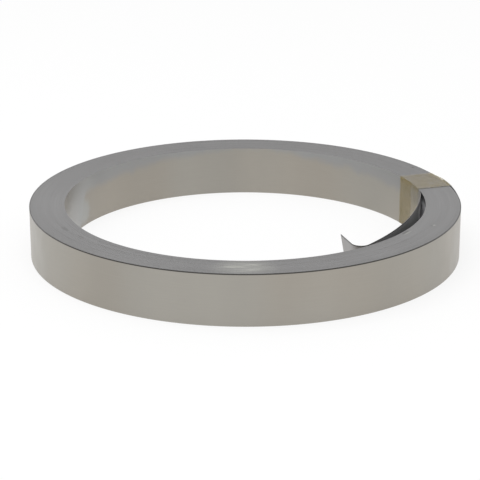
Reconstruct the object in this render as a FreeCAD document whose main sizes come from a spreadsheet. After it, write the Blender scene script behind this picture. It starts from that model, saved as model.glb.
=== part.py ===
"""A flat-wound roll of thin nickel plated steel strip, lying on its end.

The strip is wound edge-aligned into a tight ring with an open bore. The ring is one turned
solid. The last stretch of the innermost turn has sprung off the bore wall: it leaves the
wall just past the tape, runs across a shallow gap, comes back beside the wall and ends in a
small hook with an obliquely snipped end. One band of clear adhesive tape is wrapped round
the ring's section and keeps the turns together.

Frame: millimetres, +Z up along the roll's axis, origin on that axis at the lower end face.
Azimuth is measured from +X towards +Y.
"""

import FreeCAD, Part
import Sketcher
import math
import os

# Driving dimensions: alias, value, what it is. Lengths in millimetres, angles in degrees.
SIZES = [
    ("bore_diameter", 142.0, "inside the innermost turn"),
    ("wound_depth", 14.0, "from the bore wall to the outermost turn"),
    ("strip_width", 20.0, "slit width, which is the roll's height"),
    ("strip_gauge", 0.2, "strip thickness"),
    ("peel_gap", 0.2, "along the wall, between the tape and where the tail comes out of it"),
    ("peel_angle", 4.0, "between the tail and the wall where it leaves"),
    ("root_length", 3.0, "straight stretch of the tail that is buried in the wall"),
    ("peel_radius", 26.0, "middle line of the arc in which the tail comes away"),
    ("peel_turn", 12.0, "turn of that arc"),
    ("run_radius", 120.0, "middle line of the slack arc that spans the gap"),
    ("hook_clearance", 0.5, "between the hook's back and the bore wall"),
    ("hook_radius", 3.6, "middle line of the hook"),
    ("hook_turn", 124.0, "turn of the hook"),
    ("tip_length", 11.0, "straight end past the hook, along its upper edge"),
    ("snip_angle", 30.0, "slant of the snipped end from square"),
    ("snip_block", 3.0, "thickness of the block that takes the snipped corner off"),
    ("tape_width", 19.0, "across the adhesive tape"),
    ("tape_film", 0.1, "wrapped tape, two layers of thin film"),
    ("tape_azimuth", 18.0, "middle of the tape"),
    ("overrun", 2.0, "how far a cutting block reaches past what it cuts"),
]

# What follows from the sizes, as expressions over the sheet: plain numbers for lengths.
BORE = "(sizes.bore_diameter / 2)"
OUTER = f"({BORE} + sizes.wound_depth)"
HALF_GAUGE = "(sizes.strip_gauge / 2)"
# The middle line crosses the wall further round than the tail's inner face comes out of it.
PEEL_AZIMUTH = (
    "(sizes.tape_azimuth * 1deg - asin(sizes.tape_width / sizes.bore_diameter)"
    f" - 1rad * (sizes.peel_gap + {HALF_GAUGE} / sin(sizes.peel_angle * 1deg)) / {BORE})"
)
LEAVING = f"({PEEL_AZIMUTH} - 90deg - sizes.peel_angle * 1deg)"
HOOK_FROM_AXIS = f"({BORE} - sizes.hook_clearance - {HALF_GAUGE} - sizes.hook_radius)"
WRAPPED_HEIGHT = "(sizes.strip_width + 2 * sizes.tape_film)"
WRAPPED_BOTTOM = "(-sizes.tape_film)"
CUT_HEIGHT = f"({WRAPPED_HEIGHT} + 2 * sizes.overrun)"
CUT_BOTTOM = f"({WRAPPED_BOTTOM} - sizes.overrun)"

# Edges of the tail's outline, in the order in which they go round it.
(
    ROOT_BACK,
    PEEL_BACK,
    RUN_BACK,
    HOOK_BACK,
    TIP_BACK,
    TIP_END,
    TIP_FRONT,
    HOOK_FRONT,
    RUN_FRONT,
    PEEL_FRONT,
    ROOT_FRONT,
    ROOT_END,
) = range(12)
START, END, CENTRE = 1, 2, 3
ORIGIN = (-1, START)
UPWARDS = FreeCAD.Vector(0, 0, 1)

DOCUMENT = FreeCAD.newDocument("strip_roll")


def make_sheet():
    """The spreadsheet that holds every driving dimension under its alias."""
    sheet = DOCUMENT.addObject("Spreadsheet::Sheet", "sizes")
    for row, (alias, number, meaning) in enumerate(SIZES, start=1):
        sheet.set(f"A{row}", alias)
        sheet.set(f"B{row}", str(number))
        sheet.set(f"C{row}", meaning)
        sheet.setAlias(f"B{row}", alias)
    DOCUMENT.recompute()
    return sheet


SHEET = make_sheet()


def value(expression):
    """What an expression over the sheet comes to, as a number."""
    return float(SHEET.evalExpression(expression))


def direction(azimuth):
    """The unit vector in the XY plane at an azimuth in degrees."""
    turned = math.radians(azimuth)
    return FreeCAD.Vector(math.cos(turned), math.sin(turned), 0)


def add_object(kind, name, **expressions):
    """A document object with its own Label, whose properties follow the sheet."""
    made = DOCUMENT.addObject(kind, name)
    made.Label = name
    for path, expression in expressions.items():
        made.setExpression(path, f"({expression}) * 1mm")
    return made


def add_sketch(body, name, plane):
    """A new sketch on one of the body's own origin planes."""
    sketch = body.newObject("Sketcher::SketchObject", name)
    support = next(f for f in body.Origin.OriginFeatures if f.Role == plane)
    sketch.AttachmentSupport = [(support, "")]
    sketch.MapMode = "FlatFace"
    return sketch


def constrain(sketch, kind, *places):
    """A geometric constraint."""
    return sketch.addConstraint(Sketcher.Constraint(kind, *places))


def measure(sketch, name, expression, kind, *places):
    """A named dimension that follows the sheet: an angle, or otherwise a length."""
    if kind == "Angle":
        quantity, drawn = expression, math.radians(value(expression))
    else:
        quantity, drawn = f"({expression}) * 1mm", value(expression)
    index = constrain(sketch, kind, *places, drawn)
    sketch.renameConstraint(index, name)
    sketch.setExpression(f"Constraints.{name}", quantity)


def draw_ring_section(body):
    """The rectangle that is turned into the ring: bore wall, outer wall and both ends."""
    sketch = add_sketch(body, "ring_section", "XZ_Plane")
    bore, outer, top = value(BORE), value(OUTER), value("sizes.strip_width")
    corners = [FreeCAD.Vector(*at, 0) for at in ((bore, 0), (outer, 0), (outer, top), (bore, top))]
    lower, outside, upper, inside = range(4)
    for line in range(4):
        sketch.addGeometry(Part.LineSegment(corners[line], corners[(line + 1) % 4]))
    for line in range(4):
        constrain(sketch, "Coincident", line, END, (line + 1) % 4, START)
    for line in (lower, upper):
        constrain(sketch, "Horizontal", line)
    for line in (outside, inside):
        constrain(sketch, "Vertical", line)
    constrain(sketch, "PointOnObject", lower, START, -1)
    measure(sketch, "bore", BORE, "DistanceX", *ORIGIN, lower, START)
    measure(sketch, "outer", OUTER, "DistanceX", *ORIGIN, lower, END)
    measure(sketch, "height", "sizes.strip_width", "DistanceY", outside, START, outside, END)
    return sketch


def tail_stations():
    """Where the tail's middle line bends. All its bends are to the right.

    Returns the centres of its three arcs (peel, run and hook) and four headings in degrees:
    before the peel arc, between the peel and run arcs, between the run and hook arcs, and
    past the hook.
    """
    leaving = value(LEAVING)
    past_peel = leaving - value("sizes.peel_turn")
    peel_radius, run_radius = value("sizes.peel_radius"), value("sizes.run_radius")
    peel_centre = direction(value(PEEL_AZIMUTH)) * value(BORE)
    peel_centre += direction(leaving - 90) * peel_radius
    run_centre = peel_centre + direction(past_peel - 90) * (run_radius - peel_radius)

    # The hook's centre lies on two circles: one about the axis, so that the hook stays clear
    # of the wall, and one about the run arc's centre, so that the two arcs are tangent.
    from_axis = value(HOOK_FROM_AXIS)
    from_run = run_radius - value("sizes.hook_radius")
    spread = run_centre.Length
    along = (from_axis**2 - from_run**2 + spread**2) / (2 * spread)
    across = math.sqrt(from_axis**2 - along**2)
    outwards = run_centre / spread
    sideways = FreeCAD.Vector(-outwards.y, outwards.x, 0)

    def turn_to(hook_centre):
        """The run arc's turn, if the hook has that centre."""
        inwards = run_centre - hook_centre
        return (past_peel - math.degrees(math.atan2(inwards.x, -inwards.y))) % 360

    crossings = [outwards * along + sideways * (side * across) for side in (-1, 1)]
    hook_centre = min(crossings, key=turn_to)
    past_run = past_peel - turn_to(hook_centre)
    past_hook = past_run - value("sizes.hook_turn")
    return (peel_centre, run_centre, hook_centre), (leaving, past_peel, past_run, past_hook)


def draw_tail_outline(body):
    """The tail seen from above: its middle line, thickened to the strip's gauge."""
    sketch = add_sketch(body, "tail_outline", "XY_Plane")
    half = value(HALF_GAUGE)
    radii = [value(f"sizes.{arc}_radius") for arc in ("peel", "run", "hook")]
    centres, headings = tail_stations()
    root = direction(headings[0]) * value("sizes.root_length")
    tip = direction(headings[3]) * value("sizes.tip_length")

    def edge_point(step, heading, offset):
        """On an arc's edge, where the tail has that heading. Its back is on the left."""
        return centres[step] + direction(heading + 90) * (radii[step] + offset)

    def add_arcs(steps, offset):
        """One edge's arcs, each drawn anticlockwise, so that its END is nearer the root."""
        for step in steps:
            circle = Part.Circle(centres[step], UPWARDS, radii[step] + offset)
            bounds = [math.radians(headings[step + k] + 90) for k in (1, 0)]
            sketch.addGeometry(Part.ArcOfCircle(circle, *bounds))

    root_back, root_front = (edge_point(0, headings[0], offset) for offset in (half, -half))
    tip_back, tip_front = (edge_point(2, headings[3], offset) for offset in (half, -half))
    sketch.addGeometry(Part.LineSegment(root_back - root, root_back))
    add_arcs((0, 1, 2), half)
    sketch.addGeometry(Part.LineSegment(tip_back, tip_back + tip))
    sketch.addGeometry(Part.LineSegment(tip_back + tip, tip_front + tip))
    sketch.addGeometry(Part.LineSegment(tip_front + tip, tip_front))
    add_arcs((2, 1, 0), -half)
    sketch.addGeometry(Part.LineSegment(root_front, root_front - root))
    sketch.addGeometry(Part.LineSegment(root_front - root, root_back - root))

    for nearer, nearer_end, further, further_end in (
        (ROOT_BACK, END, PEEL_BACK, END),
        (PEEL_BACK, START, RUN_BACK, END),
        (RUN_BACK, START, HOOK_BACK, END),
        (HOOK_BACK, START, TIP_BACK, START),
        (ROOT_FRONT, START, PEEL_FRONT, END),
        (PEEL_FRONT, START, RUN_FRONT, END),
        (RUN_FRONT, START, HOOK_FRONT, END),
        (HOOK_FRONT, START, TIP_FRONT, END),
    ):
        constrain(sketch, "Tangent", nearer, nearer_end, further, further_end)
    for back, front in (
        (PEEL_BACK, PEEL_FRONT),
        (RUN_BACK, RUN_FRONT),
        (HOOK_BACK, HOOK_FRONT),
    ):
        constrain(sketch, "Coincident", back, CENTRE, front, CENTRE)
    for line, following in (
        (TIP_BACK, TIP_END),
        (TIP_END, TIP_FRONT),
        (ROOT_FRONT, ROOT_END),
        (ROOT_END, ROOT_BACK),
    ):
        constrain(sketch, "Coincident", line, END, following, START)
        constrain(sketch, "Perpendicular", line, following)

    measure(sketch, "peel_back", f"sizes.peel_radius + {HALF_GAUGE}", "Radius", PEEL_BACK)
    measure(sketch, "peel_front", f"sizes.peel_radius - {HALF_GAUGE}", "Radius", PEEL_FRONT)
    measure(sketch, "run_back", f"sizes.run_radius + {HALF_GAUGE}", "Radius", RUN_BACK)
    measure(sketch, "hook_back", f"sizes.hook_radius + {HALF_GAUGE}", "Radius", HOOK_BACK)
    for name, axis, function in (("peel_x", "DistanceX", "cos"), ("peel_y", "DistanceY", "sin")):
        place = (
            f"{BORE} * {function}({PEEL_AZIMUTH})"
            f" - sizes.peel_radius * {function}({LEAVING} + 90deg)"
        )
        measure(sketch, name, place, axis, *ORIGIN, PEEL_BACK, CENTRE)
    measure(sketch, "hook_from_axis", HOOK_FROM_AXIS, "Distance", *ORIGIN, HOOK_BACK, CENTRE)
    measure(sketch, "leaving", LEAVING, "Angle", ROOT_BACK)
    measure(sketch, "peel_turn", "sizes.peel_turn * 1deg", "Angle", PEEL_BACK)
    measure(sketch, "hook_turn", "sizes.hook_turn * 1deg", "Angle", HOOK_BACK)
    measure(sketch, "root", "sizes.root_length", "Distance", ROOT_BACK)
    measure(sketch, "tip", "sizes.tip_length", "Distance", TIP_BACK)
    return sketch


def make_wound_strip():
    """The wound ring, turned, with the sprung tail of its innermost turn, as one solid."""
    body = add_object("PartDesign::Body", "wound_strip")
    ring_section = draw_ring_section(body)
    ring = body.newObject("PartDesign::Revolution", "ring")
    ring.Profile = ring_section
    ring.ReferenceAxis = (ring_section, ["V_Axis"])
    ring.Angle = 360
    DOCUMENT.recompute()
    tail = body.newObject("PartDesign::Pad", "tail")
    tail.Profile = draw_tail_outline(body)
    tail.setExpression("Length", "sizes.strip_width * 1mm")
    DOCUMENT.recompute()
    return body


def snip_tip(wound_strip):
    """Takes the tail's lower corner off, along a slanted line from its upper corner."""
    block = add_object(
        "Part::Box",
        "snip",
        Length="sizes.strip_width * sin(sizes.snip_angle * 1deg) + sizes.overrun",
        Width="sizes.snip_block",
        Height="sizes.strip_width / cos(sizes.snip_angle * 1deg) + 2 * sizes.overrun",
    )
    DOCUMENT.recompute()
    centres, headings = tail_stations()
    heading = headings[3]
    corner = centres[2] + direction(heading + 90) * value("sizes.hook_radius")
    corner += direction(heading) * value("sizes.tip_length")
    corner += UPWARDS * value("sizes.strip_width")
    slant = FreeCAD.Rotation(FreeCAD.Vector(0, 1, 0), value("sizes.snip_angle"))
    turned = FreeCAD.Rotation(UPWARDS, heading).multiply(slant)
    foot = FreeCAD.Vector(0, -block.Width.Value / 2, value("sizes.overrun") - block.Height.Value)
    block.Placement = FreeCAD.Placement(corner + turned.multVec(foot), turned)
    snipped = combine("Part::Cut", "snipped_strip", wound_strip, block)
    DOCUMENT.recompute()
    if wound_strip.Shape.Volume - snipped.Shape.Volume < value("sizes.strip_gauge"):
        raise RuntimeError("the snip misses the tail")
    return snipped


def combine(kind, name, base, tool):
    """A boolean of two shapes: a Part::Cut, a Part::Common or a Part::Fuse."""
    combined = add_object(kind, name)
    combined.Base = base
    combined.Tool = tool
    return combined


def make_tape_trim():
    """The block that is as wide as the tape and reaches out from the axis along its middle."""
    trim = add_object(
        "Part::Box",
        "tape_trim",
        Length=f"{OUTER} + sizes.tape_film + sizes.overrun",
        Width="sizes.tape_width",
        Height=CUT_HEIGHT,
    )
    azimuth = value("sizes.tape_azimuth")
    foot = direction(azimuth - 90) * (value("sizes.tape_width") / 2) + UPWARDS * value(CUT_BOTTOM)
    trim.Placement = FreeCAD.Placement(foot, FreeCAD.Rotation(UPWARDS, azimuth))
    return trim


def mark_footprint(snipped_strip, tape_trim):
    """Splits the roll's faces along the tape's edges and leaves its shape as it is.

    The rest of each end face is then one face, clear of the tape, for what lies against it.
    """
    footprint = combine("Part::Common", "tape_footprint", snipped_strip, tape_trim)
    coil = combine("Part::Fuse", "strip_coil", snipped_strip, footprint)
    coil.Refine = False
    return coil


def make_cylinder(name, radius, height, bottom):
    """A cylinder on the roll's axis, from three expressions over the sheet."""
    placed = {".Placement.Base.z": bottom}
    return add_object("Part::Cylinder", name, Radius=radius, Height=height, **placed)


def make_tape_band(tape_trim):
    """The tape: a closed skin all round the ring's section, trimmed to the tape's width."""
    jacket = combine(
        "Part::Cut",
        "jacket",
        make_cylinder("skin_outside", f"{OUTER} + sizes.tape_film", WRAPPED_HEIGHT, WRAPPED_BOTTOM),
        make_cylinder("skin_bore", f"{BORE} - sizes.tape_film", CUT_HEIGHT, CUT_BOTTOM),
    )
    wound = combine(
        "Part::Cut",
        "wound",
        make_cylinder("wound_outside", OUTER, "sizes.strip_width", "0"),
        make_cylinder("wound_bore", BORE, CUT_HEIGHT, CUT_BOTTOM),
    )
    skin = combine("Part::Cut", "skin", jacket, wound)
    return combine("Part::Common", "tape_band", skin, tape_trim)


def check(parts):
    """Stops if an object failed to build, or if a sub-part isn't one sound solid."""
    failed = [made.Label for made in DOCUMENT.Objects if {"Invalid", "Error"} & set(made.State)]
    if failed:
        raise RuntimeError(f"these objects failed: {failed}")
    for part in parts:
        shape = part.Shape
        if shape.isNull() or not shape.isValid() or len(shape.Solids) != 1:
            raise RuntimeError(f"{part.Label} isn't one valid solid")
        print(part.Label, round(shape.Volume, 2), "mm3", shape.BoundBox)


def main():
    tape_trim = make_tape_trim()
    snipped_strip = snip_tip(make_wound_strip())
    parts = [mark_footprint(snipped_strip, tape_trim), make_tape_band(tape_trim)]
    DOCUMENT.recompute()
    check(parts)
    os.makedirs("parts", exist_ok=True)
    for part in parts:
        part.Shape.exportStep(os.path.join("parts", f"{part.Label}.step"))


main()
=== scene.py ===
"""Looks of the nickel plated strip roll: the wound strip, the tape and a pale studio.

Lengths are in metres. +Z is the roll's axis and points up, and the roll lies on its lower end
face at height 0. Azimuth is measured from +X towards +Y. The strip is wound outwards in the
direction of growing azimuth.
"""

import math

import bmesh
import bpy
import numpy as np
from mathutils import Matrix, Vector


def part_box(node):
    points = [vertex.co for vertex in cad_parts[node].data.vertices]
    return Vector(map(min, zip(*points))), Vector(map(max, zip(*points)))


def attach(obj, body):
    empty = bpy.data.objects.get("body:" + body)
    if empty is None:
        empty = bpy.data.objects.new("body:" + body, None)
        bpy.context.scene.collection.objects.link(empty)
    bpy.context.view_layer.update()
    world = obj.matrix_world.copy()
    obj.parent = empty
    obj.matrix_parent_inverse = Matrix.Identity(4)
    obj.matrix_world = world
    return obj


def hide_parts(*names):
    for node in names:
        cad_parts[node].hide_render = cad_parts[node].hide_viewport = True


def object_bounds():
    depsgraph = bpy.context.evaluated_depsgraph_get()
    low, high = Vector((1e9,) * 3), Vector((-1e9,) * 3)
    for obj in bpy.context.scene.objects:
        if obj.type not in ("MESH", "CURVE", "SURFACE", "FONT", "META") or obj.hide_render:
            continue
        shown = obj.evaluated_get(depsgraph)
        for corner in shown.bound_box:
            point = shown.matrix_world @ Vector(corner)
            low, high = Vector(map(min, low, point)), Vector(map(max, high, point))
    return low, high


bl_info = {
    "name": "Strip Roll",
    "version": (1, 0, 0),
    "blender": (4, 5, 0),
    "location": "3D View > Sidebar > Strip Roll",
    "description": "Winds a plated strip into a flat roll, tapes it and sets it in a studio",
    "category": "Object",
}

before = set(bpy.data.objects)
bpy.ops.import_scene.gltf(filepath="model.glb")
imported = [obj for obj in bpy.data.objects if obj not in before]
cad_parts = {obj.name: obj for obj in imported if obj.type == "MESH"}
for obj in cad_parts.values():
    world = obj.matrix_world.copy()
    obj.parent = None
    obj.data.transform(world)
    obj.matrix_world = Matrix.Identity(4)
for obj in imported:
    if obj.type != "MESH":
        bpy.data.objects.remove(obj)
CAD_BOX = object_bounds()
COIL_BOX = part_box("strip_coil")
TAPE_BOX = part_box("tape_band")
OUTER_RADIUS = COIL_BOX[1].x
STRIP_WIDTH = COIL_BOX[1].z - COIL_BOX[0].z
TAPE_FILM = COIL_BOX[0].z - TAPE_BOX[0].z
BODY = "root"
MM = 0.001
# From one station of the wound strip to the next.
STATION_TURN = math.radians(2)
# The strip's outer end comes loose over this turn, and its last stretch stands fully off.
LOOSE_TURN = math.radians(16)
LIFTED_END = math.radians(3)
# Past the outer end, the tape comes down on the turn below over this turn.
TAPE_DROP_TURN = LOOSE_TURN / 3
# How far round the bore wall the sprung tail hides it.
GAP_TURN = math.radians(60)
# Levels of vertices across each face of the strip, in the ring and on the tail.
RING_LEVELS = 2
TAIL_LEVELS = 13
# Stations along the tail: near its snipped tip, where they turn upright again over that many
# times the snip's slant, and from there on.
TIP_STATIONS = 69
SLANT_FADE = 2.5
TAIL_STATIONS = 60
# Material slots of the strip.
PLATED, SLIT, IN_GAP = range(3)
# Steps of the film up the bore wall, over the top, down the outside and under the roll.
FILM_STEPS = (20, 14, 20, 14)
FOLD_POINTS = 4
FILM_STATIONS = 25
# How far the two wraps of film lie off the metal, as shares of the tape's thickness.
FIRST_WRAP, SECOND_WRAP = 0.4, 0.9


# ---------------------------------------------------------------- sizes and colours


def length(name, default, description):
    """A length that a user can change, in metres."""
    return bpy.props.FloatProperty(
        name=name,
        default=default,
        description=description,
        subtype="DISTANCE",
        unit="LENGTH",
        precision=5,
    )


def angle(name, degrees, description):
    """An angle that a user can change, given in degrees."""
    return bpy.props.FloatProperty(
        name=name,
        default=math.radians(degrees),
        description=description,
        subtype="ANGLE",
        unit="ROTATION",
    )


def colour(name, default, description):
    """A colour that a user can change."""
    return bpy.props.FloatVectorProperty(
        name=name,
        default=default,
        description=description,
        subtype="COLOR",
        size=3,
        min=0,
        max=1,
    )


class StripSizes(bpy.types.PropertyGroup):
    """Sizes of the wound strip and its sprung tail"""

    wound_depth: length("Wound depth", 14 * MM, "From the bore wall to the outermost turn")
    gauge: length("Gauge", 0.2 * MM, "Thickness of the strip")
    turns: bpy.props.IntProperty(name="Turns", default=68, description="Whole turns in the ring")
    edge_crown: length("Edge crown", 0.03 * MM, "How far each slit edge is domed")
    edge_scatter: length("Edge scatter", 0.045 * MM, "How far turns sit below their neighbours")
    peel_gap: length("Peel gap", 0.2 * MM, "Along the wall, from the tape to the tail's inner face")
    peel_angle: angle("Peel angle", 4, "Between the tail and the wall where it leaves")
    peel_radius: length("Peel radius", 26 * MM, "Arc in which the tail comes away")
    peel_turn: angle("Peel turn", 12, "Turn of that arc")
    run_radius: length("Run radius", 120 * MM, "Slack arc that spans the gap")
    hook_clearance: length("Hook clearance", 0.5 * MM, "From the hook's back to the bore wall")
    hook_radius: length("Hook radius", 3.6 * MM, "Hook at the end of the tail")
    hook_turn: angle("Hook turn", 124, "Turn of the hook")
    tip_length: length("Tip length", 11 * MM, "Straight end, along its upper edge")
    snip_angle: angle("Snip angle", 30, "Slant of the snipped end from square")
    loosening: length("Loosening", 0.08 * MM, "Gap under the outermost turn")
    lift: length("Loose lift", 0.5 * MM, "How far the outer end stands off the turn below it")


class TapeSizes(bpy.types.PropertyGroup):
    """Sizes of the adhesive tape"""

    azimuth: angle("Azimuth", 18, "Middle of the tape")
    width: length("Width", 19 * MM, "Across the tape")
    overlap_shift: length("Overlap shift", 0.6 * MM, "How far the second layer lies beside the first")


class Finish(bpy.types.PropertyGroup):
    """Colours of the strip and the tape"""

    plating: colour("Plating", (0.366, 0.349, 0.314), "Faces of the strip")
    plating_tint: colour("Plating tint", (0.368, 0.34, 0.297), "Warmer clouds in the plating")
    haze: colour("Haze", (0.325, 0.325, 0.322), "Greyer plating along the top of the bore wall")
    haze_end: colour("Haze end", (0.42, 0.42, 0.415), "Paler haze at the end of that wall")
    lighter_patch: colour("Lighter patch", (0.398, 0.403, 0.393), "Lighter plating low on the bore wall")
    tail: colour("Tail", (0.385, 0.375, 0.37), "Outer side of the sprung tail")
    # Painted light and shade in the gap behind the tail: darker behind it, pale at the root of the gap,
    # dark near its top.
    tail_gap_shade: colour("Tail in the gap", (0.225, 0.225, 0.227), "Duller plating behind the tail, painted darker as shade")
    gap_root_light: colour("Root of the gap", (0.92, 0.92, 0.93), "Matt plating, painted pale as light, where the tail leaves the wall")
    gap_top_shade: colour("Top of the gap", (0.1, 0.1, 0.101), "The same plating, painted dark as shade, near the slit edges")
    slit_edge: colour("Slit edge", (0.244, 0.241, 0.242), "Sheared edges of the strip")
    # Lighter colour for wear from rubbing and for painted highlights and glints on the end face.
    slit_edge_worn_and_glinting: colour("Worn and glinting slit edge", (0.45, 0.45, 0.42), "Slit edges where they are worn, and painted glints on them")
    film: colour("Film", (0.37, 0.295, 0.13), "Tape with aged adhesive")


# ---------------------------------------------------------------- the strip's path


def unit(heading):
    """Unit vectors in the plane of the roll, for one heading or an array of them."""
    return np.stack([np.cos(heading), np.sin(heading)], axis=-1)


class StripPath:
    """The strip's middle line seen from above, from the tip of the tail to the outer end.

    point(s) and back(s) take distances from the tip. back is the unit vector from the middle
    line to the face that lies outermost in the ring.
    """

    def __init__(self, sizes, tape):
        self.sizes = sizes
        self.outer = OUTER_RADIUS
        self.bore = self.outer - sizes.wound_depth
        self.tape_azimuth = tape.azimuth
        half = sizes.gauge / 2
        tape_edge = tape.azimuth - math.asin(tape.width / 2 / self.bore)
        peel_gap = sizes.peel_gap + half / math.sin(sizes.peel_angle)
        peel_azimuth = tape_edge - peel_gap / self.bore
        crossing = unit(peel_azimuth) * self.bore
        leaving = peel_azimuth - math.pi / 2 - sizes.peel_angle
        past_peel = leaving - sizes.peel_turn
        peel_centre = crossing + unit(leaving - math.pi / 2) * sizes.peel_radius
        slacker = sizes.run_radius - sizes.peel_radius
        run_centre = peel_centre + unit(past_peel - math.pi / 2) * slacker
        from_axis = self.bore - sizes.hook_clearance - half - sizes.hook_radius
        from_run = sizes.run_radius - sizes.hook_radius
        spread = np.linalg.norm(run_centre)
        along = (from_axis**2 - from_run**2 + spread**2) / (2 * spread)
        across = math.sqrt(from_axis**2 - along**2)
        outwards = run_centre / spread
        sideways = np.array([-outwards[1], outwards[0]])

        def turn_to(hook_centre):
            """The slack arc's turn, if the hook has that centre."""
            inwards = run_centre - hook_centre
            return (past_peel - math.atan2(inwards[0], -inwards[1])) % (2 * math.pi)

        hook_centre = min((outwards * along + sideways * s * across for s in (-1, 1)), key=turn_to)
        past_run = past_peel - turn_to(hook_centre)
        past_hook = past_run - sizes.hook_turn
        # The peel arc begins where it is tangent to the innermost turn.
        self.wall_azimuth = math.atan2(peel_centre[1], peel_centre[0])
        self.first_radius = np.linalg.norm(peel_centre) + sizes.peel_radius
        self.arcs = []
        for centre, radius, last, first in (
            (hook_centre, sizes.hook_radius, past_hook, past_run),
            (run_centre, sizes.run_radius, past_run, past_peel),
            (peel_centre, sizes.peel_radius, past_peel, self.wall_azimuth - math.pi / 2),
        ):
            self.arcs.append((centre, radius, last + math.pi / 2, (first - last) * radius))
        self.tip_length = sizes.tip_length
        hook_end = hook_centre + unit(past_hook + math.pi / 2) * sizes.hook_radius
        self.tip = hook_end + unit(past_hook) * sizes.tip_length
        self.tip_heading = past_hook
        self.tail_length = self.tip_length + sum(arc[3] for arc in self.arcs)
        self.turned = 2 * math.pi * sizes.turns + tape.azimuth - self.wall_azimuth
        self.pitch = (self.outer - half - sizes.loosening - self.first_radius) / self.turned

    def tail(self, s):
        """Point and back vector on the tail, for an array of distances from the tip."""
        s = np.asarray(s, float)
        place = self.tip - unit(self.tip_heading) * s[..., None]
        back = np.broadcast_to(unit(self.tip_heading + math.pi / 2), place.shape).copy()
        start = self.tip_length
        for centre, radius, azimuth, span in self.arcs:
            on = s > start
            out = unit(azimuth + (s[on] - start) / radius)
            place[on], back[on] = centre + out * radius, out
            start += span
        return place, back

    def stand_off(self, turned):
        """How far the outermost turn stands off the one below it, and its end further."""
        last_turn = self.turned - 2 * math.pi
        loose = self.sizes.loosening * smooth_step(last_turn, last_turn + LOOSE_TURN, turned)
        end = self.turned - LIFTED_END
        return loose + self.sizes.lift * smooth_step(self.turned - LOOSE_TURN, end, turned)

    def ring(self, turned):
        """Point and back vector in the ring, for an array of angles from its inner end."""
        out = unit(self.wall_azimuth + turned)
        radius = self.first_radius + self.pitch * turned + self.stand_off(turned)
        return out * radius[..., None], out

    def surface(self, azimuth):
        """Radius of what the tape lies on outside, near the strip's outer end."""
        before = self.turned + azimuth - self.tape_azimuth
        under = min(before, self.turned)
        radius = self.first_radius + self.pitch * under + self.stand_off(under)
        past = float(smooth_step(0, TAPE_DROP_TURN, azimuth - self.tape_azimuth))
        step = self.sizes.gauge + self.sizes.loosening + self.sizes.lift
        return radius + self.sizes.gauge / 2 - step * past


def smooth_step(low, high, x):
    """0 below the lower bound and 1 above the upper one, with a smooth rise between."""
    t = np.clip((x - low) / (high - low), 0, 1)
    return t * t * (3 - 2 * t)


def slow_noise(x, seed, waves=6, spacing=1.37, damping=1.6):
    """A smooth sum of a few sines, damped and clipped to between -1 and 1."""
    rng = np.random.default_rng(seed)
    total = np.zeros_like(np.asarray(x, float))
    for k in range(1, waves + 1):
        height = math.sqrt(2 / waves) * rng.normal()
        phase = rng.uniform(0, 2 * math.pi)
        total += height * np.sin(k * spacing * x + phase) / damping
    return np.clip(total, -1, 1)


# ---------------------------------------------------------------- meshes


def new_piece(name, vertices, faces, materials, face_materials=None, sharp_degrees=40):
    """A mesh object with smooth faces and sharp corners, linked to the scene."""
    mesh = bpy.data.meshes.new(name)
    mesh.from_pydata([tuple(v) for v in np.asarray(vertices).tolist()], [], faces)
    mesh.validate()
    for material in materials:
        mesh.materials.append(material)
    if face_materials is not None:
        mesh.polygons.foreach_set("material_index", np.asarray(face_materials, dtype=np.int32))
    mesh.shade_smooth()
    mesh.set_sharp_from_angle(angle=math.radians(sharp_degrees))
    mesh.update()
    piece = bpy.data.objects.new(name, mesh)
    bpy.context.scene.collection.objects.link(piece)
    return piece


def loft_faces(rows, columns, first=0):
    """Quads of a closed tube: rows stations, each a loop of that many columns."""
    faces = []
    for i in range(rows - 1):
        for j in range(columns):
            k = (j + 1) % columns
            a, b = first + i * columns, first + (i + 1) * columns
            faces.append((a + j, a + k, b + k, b + j))
    return faces


def strip_loop(gauge, width, crown, levels):
    """The strip's section: (offset towards the back, height) round it, from the front's foot."""
    half = gauge / 2
    heights = np.linspace(crown, width - crown, levels)
    front = [(-half, z) for z in heights]
    back = [(half, z) for z in heights[::-1]]
    return np.array([*front, (0, width), *back, (0, 0)])


def section_materials(levels, front=PLATED, back=PLATED):
    """The material slot of each face round the section."""
    return [front] * (levels - 1) + [SLIT] * 2 + [back] * (levels - 1) + [SLIT] * 2


def edge_drop(turned, scatter):
    """How far the turn is below the highest ones, which changes slowly along the strip."""
    quick = slow_noise(turned * 0.35, seed=11)
    slow = slow_noise(turned * 0.045, seed=5)
    return scatter * np.clip(0.5 + 0.3 * quick + 0.35 * slow, 0, 1)


def ring_mesh(path, sizes):
    """Vertices, faces and face materials of the wound turns."""
    rows = round(path.turned / STATION_TURN) + 1
    turned = np.linspace(0, path.turned, rows)
    place, back = path.ring(turned)
    drop = edge_drop(turned, sizes.edge_scatter)
    loop = strip_loop(sizes.gauge, STRIP_WIDTH, sizes.edge_crown, RING_LEVELS)
    flat = place[:, None, :] + back[:, None, :] * loop[None, :, :1]
    heights = loop[None, :, 1:] - drop[:, None, None]
    vertices = np.concatenate([flat, heights], axis=2).reshape(-1, 3)
    columns = len(loop)
    faces = loft_faces(rows, columns)
    materials = []
    for at in turned[:-1]:
        behind_tail = 2 * math.pi - GAP_TURN < at < 2 * math.pi
        materials += section_materials(RING_LEVELS, front=IN_GAP if behind_tail else PLATED)
    faces.append(tuple(range((rows - 1) * columns, rows * columns)))
    return vertices, faces, [*materials, SLIT]


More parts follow.
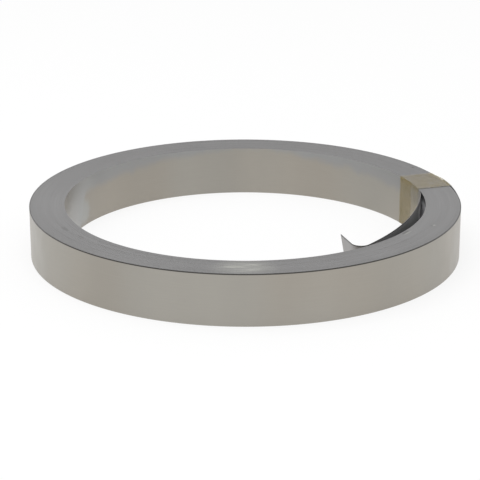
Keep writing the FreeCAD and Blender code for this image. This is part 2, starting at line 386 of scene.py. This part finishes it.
def tail_mesh(path, sizes, first_vertex):
    """Vertices, faces and face materials of the sprung tail, from its snipped tip."""
    loop = strip_loop(sizes.gauge, STRIP_WIDTH, sizes.edge_crown, TAIL_LEVELS)
    slant = (STRIP_WIDTH - loop[:, 1]) * math.tan(sizes.snip_angle)
    sheared = slant.max() * SLANT_FADE
    near_tip = np.linspace(0, sheared, TIP_STATIONS, endpoint=False)
    stations = np.concatenate([near_tip, np.linspace(sheared, path.tail_length, TAIL_STATIONS)])
    shear = np.clip(1 - stations / sheared, 0, 1)
    along = stations[:, None] + slant[None, :] * shear[:, None]
    place, back = path.tail(along)
    flat = place + back * loop[None, :, :1]
    drop = edge_drop(np.zeros(1), sizes.edge_scatter)
    heights = np.broadcast_to(loop[None, :, 1:] - drop, (*along.shape, 1))
    vertices = np.concatenate([flat, heights], axis=2).reshape(-1, 3)
    columns = len(loop)
    faces = loft_faces(len(stations), columns, first_vertex)
    faces.append(tuple(first_vertex + j for j in reversed(range(columns))))
    materials = section_materials(TAIL_LEVELS, back=IN_GAP) * (len(stations) - 1)
    return vertices, faces, [*materials, SLIT]


def build_strip(scene):
    """The strip: its wound turns and its sprung tail, one piece in place of the turned solid."""
    sizes, finish = scene.roll_strip, scene.roll_finish
    path = StripPath(sizes, scene.roll_tape)
    vertices, faces, materials = ring_mesh(path, sizes)
    tail = tail_mesh(path, sizes, len(vertices))
    strip = new_piece(
        "wound_strip",
        np.concatenate([vertices, tail[0]]),
        faces + tail[1],
        [plated_face(finish, path), slit_edge(finish, path), gap_face(finish)],
        materials + tail[2],
    )
    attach(strip, BODY)
    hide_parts("strip_coil")


def tape_line(across, path, gap):
    """A closed line round the ring's section, that far across the tape and off the metal.

    Its points are (distance outwards along the tape's middle, height).
    """
    azimuth = path.tape_azimuth + math.asin(across / path.outer)
    bore = math.sqrt(path.bore**2 - across**2)
    outer = path.surface(azimuth) * math.cos(azimuth - path.tape_azimuth)
    corners = [(bore, 0.0), (bore, STRIP_WIDTH), (outer, STRIP_WIDTH), (outer, 0.0)]
    line = []
    for number, (corner, steps) in enumerate(zip(corners, FILM_STEPS)):
        off = math.pi - number * math.pi / 2
        for turn in np.linspace(math.pi / 2, 0, FOLD_POINTS):
            line.append(np.array(corner) + gap * unit(off + turn))
        ahead = np.array(corners[(number + 1) % 4]) + gap * unit(off)
        behind = line[-1]
        line.extend(behind + (ahead - behind) * k / steps for k in range(1, steps))
    return line


def tape_layer(name, path, edges, gap, material):
    """One wrap of tape as a thin film all round the section, between two edges."""
    out, side = unit(path.tape_azimuth), unit(path.tape_azimuth + math.pi / 2)
    stations = np.linspace(*edges, FILM_STATIONS)
    vertices = []
    for across in stations:
        line = tape_line(across, path, gap)
        vertices.extend((*(out * x + side * across), z) for x, z in line)
    columns = len(line)
    layer = new_piece(name, vertices, loft_faces(len(stations), columns), [material])
    corner_vertices = np.zeros(len(layer.data.loops), dtype=np.int32)
    layer.data.loops.foreach_get("vertex_index", corner_vertices)
    across_share = corner_vertices // columns / (FILM_STATIONS - 1)
    around_share = corner_vertices % columns / columns
    fractions = np.stack([across_share, around_share], axis=1)
    layer.data.uv_layers.new(name="film").data.foreach_set("uv", fractions.astype(np.float32).ravel())
    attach(layer, BODY)
    return layer


def build_tape(scene):
    """The tape: two wraps of film, the second a little beside the first."""
    sizes = scene.roll_tape
    path = StripPath(scene.roll_strip, sizes)
    half, shift = sizes.width / 2, sizes.overlap_shift
    film = film_material(scene.roll_finish)
    tape_layer("tape_first_wrap", path, (-half, half - shift), TAPE_FILM * FIRST_WRAP, film)
    outer = tape_layer("tape_second_wrap", path, (shift - half, half), TAPE_FILM * SECOND_WRAP, film)
    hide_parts("tape_band")


# ---------------------------------------------------------------- where the finish, the painted light and the painted shade change

# How metallic clean and dull plating look.
CLEAN_METAL, DULL_METAL = 0.8, 0.35
# Near black, for dark marks and for painted shade along edges and in the gap.
GRIME_AND_SHADE = (0.05, 0.048, 0.045, 1)
# Depth of the painted shade line along the upper slit edge outside.
RIM_LINE = 0.55 * MM
# Painted shade darkens the outermost turn's slit edge over this stretch, inwards from the outer radius.
LAST_TURN = (0.3 * MM, 0.2 * MM)
# How far from the outer radius and from the bore's radius a point still counts as on the wall.
OUTSIDE_MARGIN = 0.5 * MM
BORE_MARGIN = 1 * MM
# How far inside the bore's radius the sprung tail begins.
TAIL_MARGIN = 0.1 * MM
# Where the haze reaches down the whole wall and where it turns paler, along X.
HAZY_END = (-65 * MM, -69 * MM)
PALE_END = (-60 * MM, -68.5 * MM)
# Where the haze fades in along Y: it lies at the back of the bore.
HAZE_AT_BACK = (-20 * MM, 30 * MM)
# Over which depth the haze's lower edge fades out, and by how much that edge is ragged.
HAZE_EDGE = (1.5 * MM, 5.5 * MM)
HAZE_RAGGED = 6 * MM
# A lighter patch low on the bore wall.
LIGHTER_PATCH = {"Place": (-66.2 * MM, 25.6 * MM, 6 * MM), "Length": 6.5 * MM, "Breadth": 3 * MM}
# How far to either side the end face is painted a little darker, as shade.
SHADED_SIDES = (40 * MM, 75 * MM)
# Where the painted shade on the tail's slit edge turns lighter, along X, from the hook to the slack arc.
HOOK_TO_RUN = (56 * MM, 64 * MM)
# Where the faces in the gap turn dull and painted darker as shade, and then matt and painted pale as
# light, along X.
GAP_DULL_AND_SHADE_FROM = (45 * MM, 52 * MM)
GAP_MATT_AND_LIGHT_FROM = (67.5 * MM, 70.5 * MM)
# Height above which the matt wall is painted darker as shade, where light falls in from above; below it
# the wall is painted pale as light.
GAP_TOP = (16 * MM, 19 * MM)
# Height over which painted shade darkens the tail's outer side towards its upper edge.
TAIL_RIM = (19.5 * MM, 19.7 * MM)
# Shares of the film's way round the section at which it leaves the bore wall and the top face.
FILM_POINTS = sum(FILM_STEPS) + 4 * (FOLD_POINTS - 1)
BORE_SHARE = (FILM_STEPS[0] + FOLD_POINTS - 1) / FILM_POINTS
TOP_SHARE = BORE_SHARE + (FILM_STEPS[1] + FOLD_POINTS - 1) / FILM_POINTS

# On the upper end face: azimuth in degrees, radius, length and breadth of each mark, and how
# strong it is.
DARK_MARKS = (
    (31.5, 82.4 * MM, 0.7 * MM, 0.6 * MM, 0.9),
    (-152.1, 76.9 * MM, 3.5 * MM, 1.2 * MM, 0.2),
    (-143.6, 76.0 * MM, 2.5 * MM, 0.9 * MM, 0.18),
    (-33.7, 72.2 * MM, 3.2 * MM, 0.7 * MM, 0.4),
    (-24.6, 77.6 * MM, 1.0 * MM, 0.8 * MM, 0.2),
)
# Lighter marks: a painted highlight at the front of the end face, a scuff from rubbing and a painted
# glint.
RUBS_AND_GLINTS = (
    (-90.5, 78.0 * MM, 14.0 * MM, 9.0 * MM, 0.3),
    (-34.0, 73.2 * MM, 3.2 * MM, 0.4 * MM, 0.5),
    (-24.0, 78.4 * MM, 1.0 * MM, 0.6 * MM, 0.6),
)
# Painted highlight: fine bright lines within the front highlight.
HIGHLIGHT_LINES = (-90.5, 78.0 * MM, 8.5 * MM, 6.0 * MM)


# ---------------------------------------------------------------- shader node groups


class Nodes:
    """Adds nodes to a tree in a few words. An input is a socket to link or a value to set."""

    def __init__(self, tree):
        self.tree = tree

    def add(self, kind, inputs=(), **settings):
        """A node of that kind, with its inputs linked or set and its settings made."""
        node = self.tree.nodes.new(kind)
        for name, setting in settings.items():
            setattr(node, name, setting)
        for name, given in dict(inputs).items():
            if isinstance(given, bpy.types.NodeSocket):
                self.tree.links.new(given, node.inputs[name])
            else:
                node.inputs[name].default_value = given
        return node

    def math(self, operation, a, b=0.0, c=0.0, clamp=False):
        """What a Math node puts out."""
        node = self.add("ShaderNodeMath", {0: a, 1: b, 2: c}, operation=operation, use_clamp=clamp)
        return node.outputs[0]

    def vector(self, operation, a, b):
        """The vector that a Vector Math node puts out."""
        return self.add("ShaderNodeVectorMath", {0: a, 1: b}, operation=operation).outputs[0]

    def dot(self, a, b):
        """The dot product of two vectors."""
        product = self.add("ShaderNodeVectorMath", {0: a, 1: b}, operation="DOT_PRODUCT")
        return product.outputs["Value"]

    def ramp(self, value, low, high, out_low=0.0, out_high=1.0):
        """A smooth rise or fall from one value to the other, between two bounds."""
        ranges = {
            "Value": value,
            "From Min": low,
            "From Max": high,
            "To Min": out_low,
            "To Max": out_high,
        }
        return self.add("ShaderNodeMapRange", ranges, interpolation_type="SMOOTHSTEP").outputs[0]

    def radius(self, point):
        """Distance from the roll's axis, from a point's separate coordinates."""
        squares = [self.math("MULTIPLY", point[k], point[k]) for k in (0, 1)]
        return self.math("SQRT", self.math("ADD", *squares))

    def place(self):
        """The point on the surface, in the roll's frame."""
        return self.add("ShaderNodeTexCoord").outputs["Object"]

    def separate_place(self):
        """The three coordinates of that point."""
        return self.add("ShaderNodeSeparateXYZ", {0: self.place()}).outputs

    def group(self, tree, **inputs):
        """What a node group puts out, with those inputs."""
        return self.add("ShaderNodeGroup", inputs, node_tree=tree).outputs[0]


def new_group(name, inputs, outputs):
    """An empty shader node group with named sockets. Inputs are name: default."""
    tree = bpy.data.node_groups.new(name, "ShaderNodeTree")
    for socket, default in inputs.items():
        kind = "NodeSocketFloat" if isinstance(default, float) else "NodeSocketVector"
        if isinstance(default, tuple) and len(default) == 4:
            kind = "NodeSocketColor"
        made = tree.interface.new_socket(socket, in_out="INPUT", socket_type=kind)
        made.default_value = default
    for socket, kind in outputs.items():
        tree.interface.new_socket(socket, in_out="OUTPUT", socket_type=kind)
    nodes = Nodes(tree)
    return nodes, nodes.add("NodeGroupInput").outputs, nodes.add("NodeGroupOutput").inputs


def shared(build):
    """Builds a node group once and then gives the same one again."""
    trees = {}

    def get():
        if build.__name__ not in trees:
            trees[build.__name__] = build()
        return trees[build.__name__]

    return get


@shared
def strip_streaks():
    """Streaks that run along the strip: fine lines across its width or through the turns."""
    nodes, given, result = new_group(
        "Strip streaks",
        {"Across height": 2000.0, "Across radius": 0.0, "Around": 1.0, "Detail": 3.0, "Seed": 0.0},
        {"Value": "NodeSocketFloat"},
    )
    point = nodes.separate_place()
    radius = nodes.radius(point)
    up = nodes.math("MULTIPLY", point[2], given["Across height"])
    across = nodes.math("ADD", up, nodes.math("MULTIPLY", radius, given["Across radius"]))
    x = nodes.math("MULTIPLY", nodes.math("DIVIDE", point[0], radius), given["Around"])
    y = nodes.math("MULTIPLY", nodes.math("DIVIDE", point[1], radius), given["Around"])
    where = nodes.add("ShaderNodeCombineXYZ", {0: x, 1: y, 2: across}).outputs[0]
    noise = nodes.add(
        "ShaderNodeTexNoise",
        {"Vector": where, "W": given["Seed"], "Scale": 1.0, "Detail": given["Detail"]},
        noise_dimensions="4D",
    )
    nodes.tree.links.new(noise.outputs[0], result["Value"])
    return nodes.tree


@shared
def plating_clouds():
    """Soft bands and clouds in the plating, drawn out across the strip."""
    nodes, given, result = new_group(
        "Plating clouds",
        {"Scale": 60.0, "Height stretch": 0.1, "Detail": 2.0, "Seed": 0.0},
        {"Value": "NodeSocketFloat"},
    )
    stretch = nodes.add("ShaderNodeCombineXYZ", {0: 1.0, 1: 1.0, 2: given["Height stretch"]})
    where = nodes.vector("MULTIPLY", nodes.place(), stretch.outputs[0])
    noise = nodes.add(
        "ShaderNodeTexNoise",
        {"Vector": where, "W": given["Seed"], "Scale": given["Scale"], "Detail": given["Detail"]},
        noise_dimensions="4D",
    )
    nodes.tree.links.new(noise.outputs[0], result["Value"])
    return nodes.tree


@shared
def rim_shade_line():
    """A painted shade line along the upper slit edge outside."""
    nodes, given, result = new_group(
        "Rim shade line",
        {"Strip width": 0.02, "Rim": 0.0005, "Outside": 0.0845},
        {"Mask": "NodeSocketFloat"},
    )
    point = nodes.separate_place()
    radius = nodes.radius(point)
    below = nodes.math("SUBTRACT", given["Strip width"], point[2])
    softened = nodes.math("MULTIPLY", given["Rim"], 0.75)
    line = nodes.ramp(below, softened, given["Rim"], 1.0, 0.0)
    outside = nodes.math("GREATER_THAN", radius, given["Outside"])
    nodes.tree.links.new(nodes.math("MULTIPLY", line, outside), result["Mask"])
    return nodes.tree


@shared
def bore_haze():
    """A cloud along the top of the bore wall at the back, which reaches lower at its sides."""
    nodes, given, result = new_group(
        "Bore haze",
        {"Bore radius": 0.072, "Top": 0.0195, "Slope": 0.1, "Ragged": 0.5},
        {"Mask": "NodeSocketFloat"},
    )
    point = nodes.separate_place()
    lower = nodes.math("MULTIPLY", nodes.math("ABSOLUTE", point[0]), given["Slope"])
    lower = nodes.math("ADD", lower, nodes.ramp(point[0], *HAZY_END, 0.0, STRIP_WIDTH))
    above = nodes.math("SUBTRACT", nodes.math("ADD", point[2], lower), given["Top"])
    ragged = nodes.math("MULTIPLY_ADD", given["Ragged"], HAZE_RAGGED, above)
    cloud = nodes.ramp(ragged, *HAZE_EDGE)
    inside = nodes.math("LESS_THAN", nodes.radius(point), given["Bore radius"])
    behind = nodes.ramp(point[1], *HAZE_AT_BACK)
    cloud = nodes.math("MULTIPLY", nodes.math("MULTIPLY", cloud, inside), behind)
    nodes.tree.links.new(cloud, result["Mask"])
    return nodes.tree


@shared
def spot_mask():
    """A small spot at one place, drawn out along the strip, for marks and for painted highlights."""
    nodes, given, result = new_group(
        "Spot mask",
        {"Place": (0.0, 0.0, 0.0), "Length": 0.004, "Breadth": 0.001},
        {"Mask": "NodeSocketFloat"},
    )
    away = nodes.vector("SUBTRACT", nodes.place(), given["Place"])
    outwards = nodes.add("ShaderNodeVectorMath", {0: given["Place"]}, operation="NORMALIZE").outputs[0]
    through = nodes.dot(away, outwards)
    total = nodes.dot(away, away)
    squared = nodes.math("MULTIPLY", through, through)
    beside = nodes.math("SQRT", nodes.math("MAXIMUM", nodes.math("SUBTRACT", total, squared), 0.0))
    in_length = nodes.math("DIVIDE", beside, given["Length"])
    in_breadth = nodes.math("DIVIDE", through, given["Breadth"])
    squares = [nodes.math("MULTIPLY", share, share) for share in (in_length, in_breadth)]
    grain = {"Vector": nodes.place(), "Scale": 1800.0, "Detail": 2.0}
    ragged = nodes.add("ShaderNodeTexNoise", grain).outputs[0]
    spread = nodes.math("ADD", nodes.math("ADD", *squares), ragged)
    nodes.tree.links.new(nodes.ramp(spread, 0.7, 1.5, 1.0, 0.0), result["Mask"])
    return nodes.tree


@shared
def toned():
    """A colour made lighter or darker by a value from 0 to 1, which leaves it alone at 0.5."""
    nodes, given, result = new_group(
        "Toned",
        {"Colour": (0.5, 0.5, 0.5, 1.0), "Value": 0.5, "Contrast": 0.1},
        {"Colour": "NodeSocketColor"},
    )
    swing = nodes.math("MULTIPLY", nodes.math("SUBTRACT", given["Value"], 0.5), given["Contrast"])
    factor = nodes.math("ADD", 1.0, nodes.math("MULTIPLY", swing, 2.0))
    inputs = {0: given["Colour"], "Scale": factor}
    scaled = nodes.add("ShaderNodeVectorMath", inputs, operation="SCALE")
    nodes.tree.links.new(scaled.outputs[0], result["Colour"])
    return nodes.tree


# ---------------------------------------------------------------- materials


def new_material(name, **shader):
    """A material, its node helper and its Principled shader, with the given constants set."""
    material = bpy.data.materials.new(name)
    material.use_nodes = True
    nodes = Nodes(material.node_tree)
    principled = material.node_tree.nodes["Principled BSDF"]
    for socket, value in shader.items():
        principled.inputs[socket.replace("_", " ")].default_value = value
    return material, nodes, principled


def darkened(nodes, colour_socket, mask, amount):
    """The colour, darker by that share where the mask is 1."""
    return blended(nodes, nodes.math("MULTIPLY", mask, amount), colour_socket, GRIME_AND_SHADE)


def blended(nodes, factor, first, second):
    """The first colour where the factor is 0 and the second where it is 1."""
    mix = nodes.add("ShaderNodeMix", {"Factor": factor, 6: first, 7: second}, data_type="RGBA")
    return mix.outputs[2]


def along_the_strip(nodes):
    """The direction of the rolled grain."""
    return nodes.add("ShaderNodeTangent", direction_type="RADIAL", axis="Z").outputs[0]


def plated_face(finish, path):
    """Satin nickel on the strip's faces, with a fine rolled grain along it."""
    material, nodes, shader = new_material(
        "Plated strip face", Metallic=CLEAN_METAL, Anisotropic=0.6, Anisotropic_Rotation=0.25
    )
    link = nodes.tree.links.new
    bands = nodes.group(plating_clouds(), **{"Scale": 30.0, "Height stretch": 0.04, "Detail": 1.5})
    clouds = nodes.group(plating_clouds(), **{"Scale": 160.0, "Height stretch": 0.5, "Seed": 3.0})
    tints = nodes.group(plating_clouds(), **{"Scale": 16.0, "Height stretch": 0.4, "Seed": 12.0})
    grain = nodes.group(strip_streaks(), **{"Across height": 5200.0, "Around": 9.0, "Seed": 1.0})
    # Painted shade: a dark line along the outermost turn's upper edge.
    rim_sizes = {"Strip width": STRIP_WIDTH, "Rim": RIM_LINE, "Outside": path.outer - OUTSIDE_MARGIN}
    rim = nodes.group(rim_shade_line(), **rim_sizes)
    tint = nodes.ramp(tints, 0.4, 0.6)
    tone = blended(nodes, tint, (*finish.plating, 1.0), (*finish.plating_tint, 1.0))
    haze = nodes.group(bore_haze(), **{"Bore radius": path.bore + BORE_MARGIN, "Ragged": clouds})
    x = nodes.separate_place()[0]
    pale = nodes.ramp(x, *PALE_END)
    hazy = blended(nodes, pale, (*finish.haze, 1.0), (*finish.haze_end, 1.0))
    tone = blended(nodes, haze, tone, hazy)
    # A lighter patch on the plating, low on the bore wall.
    lighter_patch = nodes.group(spot_mask(), **LIGHTER_PATCH)
    tone = blended(nodes, nodes.math("MULTIPLY", lighter_patch, 0.8), tone, (*finish.lighter_patch, 1.0))
    for value, contrast in ((bands, 0.12), (clouds, 0.05), (grain, 0.05)):
        tone = nodes.group(toned(), Colour=tone, Value=value, Contrast=contrast)
    # The rim mask darkens the colour there as painted shade.
    link(darkened(nodes, tone, rim, 0.95), shader.inputs["Base Color"])
    rough = nodes.ramp(clouds, 0.3, 0.7, 0.32, 0.4)
    link(nodes.math("MULTIPLY_ADD", grain, 0.06, rough), shader.inputs["Roughness"])
    bump = nodes.add("ShaderNodeBump", {"Height": grain, "Strength": 0.25, "Distance": 0.01 * MM})
    link(bump.outputs[0], shader.inputs["Normal"])
    link(along_the_strip(nodes), shader.inputs["Tangent"])
    return material


def gap_face(finish):
    """The tail's outer side and the wall behind it: clean at the tip, less metallic and painted darker as
    shade into the gap, and deep in the gap not metallic, painted pale as light low down and dark as shade
    near the top.
    """
    material, nodes, shader = new_material(
        "Plated face in the gap", Anisotropic=0.6, Anisotropic_Rotation=0.25, IOR=1.1
    )
    link = nodes.tree.links.new
    grain = nodes.group(strip_streaks(), **{"Across height": 5200.0, "Around": 9.0, "Seed": 1.0})
    point = nodes.separate_place()
    # Painted shade: darker colour into the gap, with duller metal.
    dull_and_shade = nodes.ramp(point[0], *GAP_DULL_AND_SHADE_FROM)
    # Painted light and shade: deep in the gap the wall turns matt, pale low down and dark near the top.
    matt_and_light = nodes.ramp(point[0], *GAP_MATT_AND_LIGHT_FROM)
    tone = blended(nodes, dull_and_shade, (*finish.tail, 1.0), (*finish.tail_gap_shade, 1.0))
    top = nodes.ramp(point[2], *GAP_TOP)
    root = blended(nodes, top, (*finish.gap_root_light, 1.0), (*finish.gap_top_shade, 1.0))
    tone = blended(nodes, matt_and_light, tone, root)
    # Painted shade: a dark line along the tail's upper edge.
    rim = nodes.ramp(point[2], *TAIL_RIM)
    rim = nodes.math("SUBTRACT", rim, matt_and_light, clamp=True)
    tone = darkened(nodes, tone, rim, 0.75)
    link(nodes.group(toned(), Colour=tone, Value=grain, Contrast=0.05), shader.inputs["Base Color"])
    metallic = nodes.math("MULTIPLY_ADD", dull_and_shade, DULL_METAL - CLEAN_METAL, CLEAN_METAL)
    metallic = nodes.math("MULTIPLY_ADD", matt_and_light, -DULL_METAL, metallic, clamp=True)
    link(metallic, shader.inputs["Metallic"])
    link(nodes.math("MULTIPLY_ADD", dull_and_shade, 0.15, 0.38), shader.inputs["Roughness"])
    link(along_the_strip(nodes), shader.inputs["Tangent"])
    return material


def slit_edge(finish, path):
    """The sheared edges of the turns: streaks where groups of turns catch the light alike."""
    material, nodes, shader = new_material("Slit edge", Metallic=1.0, Anisotropic=0.4)
    link = nodes.tree.links.new
    through = {"Across height": 0.0, "Across radius": 500.0, "Around": 1.3, "Detail": 2.0}
    groups = nodes.group(strip_streaks(), **through)
    through.update({"Across radius": 2600.0, "Around": 2.5, "Seed": 2.0})
    turns = nodes.group(strip_streaks(), **through)
    clouds = nodes.group(plating_clouds(), **{"Scale": 45.0, "Height stretch": 1.0, "Seed": 7.0})
    tone = (*finish.slit_edge, 1.0)
    for value, contrast in ((groups, 0.12), (turns, 0.14), (clouds, 0.06)):
        tone = nodes.group(toned(), Colour=tone, Value=value, Contrast=contrast)
    # Wear from rubbing, and painted highlights and glints, in the lighter colour.
    rub_and_glint_colour = (*finish.slit_edge_worn_and_glinting, 1.0)
    for *mark, strength in RUBS_AND_GLINTS:
        rub_and_glint_mask = nodes.group(spot_mask(), **mark_inputs(*mark))
        tone = blended(nodes, nodes.math("MULTIPLY", rub_and_glint_mask, strength), tone, rub_and_glint_colour)
    for *mark, strength in DARK_MARKS:
        dark = nodes.group(spot_mask(), **mark_inputs(*mark))
        tone = darkened(nodes, tone, dark, strength)
    # Painted highlight: fine bright lines at the front of the end face.
    highlight_lines = nodes.group(spot_mask(), **mark_inputs(*HIGHLIGHT_LINES))
    through = {"Across height": 0.0, "Across radius": 1100.0, "Around": 3.0}
    lines = nodes.group(strip_streaks(), **through)
    highlight_lines = nodes.math("MULTIPLY", highlight_lines, nodes.ramp(lines, 0.47, 0.56))
    tone = blended(nodes, highlight_lines, tone, rub_and_glint_colour)
    point = nodes.separate_place()
    outside = nodes.radius(point)
    # Painted shade along the outermost turn's slit edge.
    last = nodes.ramp(outside, *(path.outer - inwards for inwards in LAST_TURN))
    tone = darkened(nodes, tone, last, 0.6)
    # Painted shade: the end face a little darker to either side.
    sides = nodes.ramp(nodes.math("ABSOLUTE", point[0]), *SHADED_SIDES)
    tone = darkened(nodes, tone, sides, 0.1)
    # Painted shade: a dark line along the tail's upper slit edge, darkest at the hook.
    on_tail = nodes.math("LESS_THAN", outside, path.bore - TAIL_MARGIN)
    hook = nodes.ramp(point[0], *HOOK_TO_RUN, 0.85, 0.3)
    link(darkened(nodes, tone, nodes.math("MULTIPLY", on_tail, hook), 1.0), shader.inputs["Base Color"])
    link(nodes.ramp(turns, 0.3, 0.7, 0.36, 0.46), shader.inputs["Roughness"])
    link(along_the_strip(nodes), shader.inputs["Tangent"])
    return material


def mark_inputs(azimuth, radius, mark_length, breadth):
    """A mark on the upper end face, at an azimuth in degrees."""
    place = (*(unit(math.radians(azimuth)) * radius), STRIP_WIDTH)
    return {"Place": place, "Length": mark_length, "Breadth": breadth}


def film_material(finish):
    """Clear tape with aged adhesive, yellower where it is stuck hard and darker along one edge."""
    material, nodes, shader = new_material("Adhesive tape film", IOR=1.46)
    link = nodes.tree.links.new
    film = nodes.add("ShaderNodeUVMap", uv_map="film").outputs[0]
    across, around = list(nodes.add("ShaderNodeSeparateXYZ", {0: film}).outputs)[:2]
    on_bore = nodes.math("LESS_THAN", around, BORE_SHARE)
    edge = nodes.math("SUBTRACT", nodes.ramp(across, 0.02, 0.035, 1.0, 0.0), on_bore, clamp=True)
    from_folds = [nodes.math("SUBTRACT", around, share) for share in (BORE_SHARE, TOP_SHARE)]
    nearest = nodes.math("MINIMUM", *(nodes.math("ABSOLUTE", way) for way in from_folds))
    fold = nodes.ramp(nearest, 0.0, 0.04, 1.0, 0.0)
    patches = nodes.group(plating_clouds(), **{"Scale": 200.0, "Height stretch": 1.0, "Seed": 5.0})
    creases = nodes.group(plating_clouds(), **{"Scale": 500.0, "Height stretch": 0.2, "Seed": 9.0})
    tone = nodes.group(toned(), Colour=(*finish.film, 1.0), Value=patches, Contrast=0.15)
    link(darkened(nodes, tone, edge, 0.8), shader.inputs["Base Color"])
    # The adhesive holds on the far part of the bore wall and has let go near the tail.
    stuck = nodes.math("MULTIPLY", on_bore, nodes.ramp(across, 0.44, 0.5, -0.06, 0.14))
    opacity = nodes.math("MULTIPLY_ADD", edge, 0.5, nodes.ramp(patches, 0.3, 0.7, 0.15, 0.2))
    opacity = nodes.math("MULTIPLY_ADD", fold, 0.14, opacity)
    link(nodes.math("ADD", opacity, stuck), shader.inputs["Alpha"])
    link(nodes.ramp(patches, 0.3, 0.7, 0.2, 0.32), shader.inputs["Roughness"])
    bump = nodes.add("ShaderNodeBump", {"Height": creases, "Strength": 0.15, "Distance": 0.03 * MM})
    link(bump.outputs[0], shader.inputs["Normal"])
    return material


# ---------------------------------------------------------------- studio

FLOOR_HALF = 3.0
FLOOR_COLOUR = (0.92, 0.92, 0.92, 1)
# Share of the backdrop's own white in the floor, where the backdrop is looked at.
FLOOR_GLOW = 0.8
WHITE = (1, 1, 1, 1)
WORLD_LIGHT = 0.75
SOFTBOX_PLACE = (-0.15, -0.1, 0.9)
SOFTBOX_SIZE = (0.9, 0.7)
SOFTBOX_POWER = 4.0
CAMERA_PLACE = (-1.98 * MM, -684.45 * MM, 242.97 * MM)
CAMERA_DIP = math.radians(19.33)
LENS = 136.42
SENSOR = 36


def background_rays(nodes):
    """1 for rays that look at the backdrop, straight or in a shiny surface."""
    rays = nodes.add("ShaderNodeLightPath").outputs
    seen = nodes.math("ADD", rays["Is Camera Ray"], rays["Is Glossy Ray"])
    return nodes.math("ADD", seen, rays["Is Transmission Ray"], clamp=True)


def build_floor():
    """A pale floor that keeps the roll's soft shadow."""
    material = bpy.data.materials.new("Pale floor")
    material.use_nodes = True
    nodes = Nodes(material.node_tree)
    nodes.tree.nodes.remove(nodes.tree.nodes["Principled BSDF"])
    lit = nodes.add("ShaderNodeBsdfDiffuse", {"Color": FLOOR_COLOUR}).outputs[0]
    glow = nodes.add("ShaderNodeEmission", {"Color": WHITE, "Strength": 1.0}).outputs[0]
    share = nodes.math("MULTIPLY", background_rays(nodes), FLOOR_GLOW)
    mixed = nodes.add("ShaderNodeMixShader", {0: share, 1: lit, 2: glow}).outputs[0]
    nodes.tree.links.new(mixed, nodes.tree.nodes["Material Output"].inputs["Surface"])
    mesh = bpy.data.meshes.new("studio_floor")
    sheet = bmesh.new()
    bmesh.ops.create_grid(sheet, x_segments=1, y_segments=1, size=FLOOR_HALF)
    sheet.to_mesh(mesh)
    sheet.free()
    mesh.materials.append(material)
    floor = bpy.data.objects.new("studio_floor", mesh)
    floor.location.z = CAD_BOX[0].z
    bpy.context.scene.collection.objects.link(floor)


def build_world():
    """White round the roll, a little dimmer as a light than as a backdrop."""
    world = bpy.data.worlds.new("Studio")
    bpy.context.scene.world = world
    world.use_nodes = True
    nodes = Nodes(world.node_tree)
    backdrop = nodes.tree.nodes["Background"]
    backdrop.inputs["Color"].default_value = WHITE
    strength = nodes.ramp(background_rays(nodes), 0.0, 1.0, WORLD_LIGHT, 1.0)
    nodes.tree.links.new(strength, backdrop.inputs["Strength"])


def add_softbox():
    """One large soft lamp above, turned to the roll's centre."""
    lamp = bpy.data.lights.new("softbox_above", "AREA")
    lamp.shape = "RECTANGLE"
    lamp.size, lamp.size_y = SOFTBOX_SIZE
    lamp.energy = SOFTBOX_POWER
    softbox = bpy.data.objects.new("softbox_above", lamp)
    softbox.location = SOFTBOX_PLACE
    softbox.rotation_mode = "QUATERNION"
    softbox.rotation_quaternion = (-Vector(SOFTBOX_PLACE)).to_track_quat("-Z", "Y")
    bpy.context.scene.collection.objects.link(softbox)


def add_camera():
    """A camera that looks down on the roll at a low angle, from its front."""
    lens = bpy.data.cameras.new("Camera")
    lens.sensor_width = SENSOR
    lens.lens = LENS
    camera = bpy.data.objects.new("Camera", lens)
    camera.location = CAMERA_PLACE
    camera.rotation_euler = (math.pi / 2 - CAMERA_DIP, 0, 0)
    bpy.context.scene.collection.objects.link(camera)
    bpy.context.scene.camera = camera


# ---------------------------------------------------------------- add-on


class ROLL_OT_wind_strip(bpy.types.Operator):
    """Wind the strip into its ring and spring its inner end off the bore wall"""

    bl_idname = "strip_roll.wind_strip"
    bl_label = "Wind Strip"

    def execute(self, context):
        build_strip(context.scene)
        return {"FINISHED"}


class ROLL_OT_wrap_tape(bpy.types.Operator):
    """Wrap the adhesive tape round the ring"""

    bl_idname = "strip_roll.wrap_tape"
    bl_label = "Wrap Tape"

    def execute(self, context):
        build_tape(context.scene)
        return {"FINISHED"}


class ROLL_OT_set_stage(bpy.types.Operator):
    """Set the floor, the light and the camera"""

    bl_idname = "strip_roll.set_stage"
    bl_label = "Set Stage"

    def execute(self, context):
        build_floor()
        build_world()
        add_softbox()
        add_camera()
        context.scene.view_settings.view_transform = "Standard"
        return {"FINISHED"}


class ROLL_PT_strip_roll(bpy.types.Panel):
    """Sizes, colours and steps of the strip roll"""

    bl_idname = "ROLL_PT_strip_roll"
    bl_label = "Strip Roll"
    bl_space_type = "VIEW_3D"
    bl_region_type = "UI"
    bl_category = "Strip Roll"

    def draw(self, context):
        for group in (context.scene.roll_strip, context.scene.roll_tape, context.scene.roll_finish):
            column = self.layout.column()
            for name in group.__annotations__:
                column.prop(group, name)
        for operator in STEPS:
            self.layout.operator(operator.bl_idname)


STEPS = (ROLL_OT_wind_strip, ROLL_OT_wrap_tape, ROLL_OT_set_stage)
SETTINGS = {"roll_strip": StripSizes, "roll_tape": TapeSizes, "roll_finish": Finish}
CLASSES = (*SETTINGS.values(), *STEPS, ROLL_PT_strip_roll)


def register():
    for cls in CLASSES:
        bpy.utils.register_class(cls)
    for name, group in SETTINGS.items():
        setattr(bpy.types.Scene, name, bpy.props.PointerProperty(type=group))


def unregister():
    for name in SETTINGS:
        delattr(bpy.types.Scene, name)
    for cls in reversed(CLASSES):
        bpy.utils.unregister_class(cls)


def main():
    register()
    bpy.ops.strip_roll.wind_strip()
    bpy.ops.strip_roll.wrap_tape()
    bpy.ops.strip_roll.set_stage()


if __name__ == "__main__":
    main()
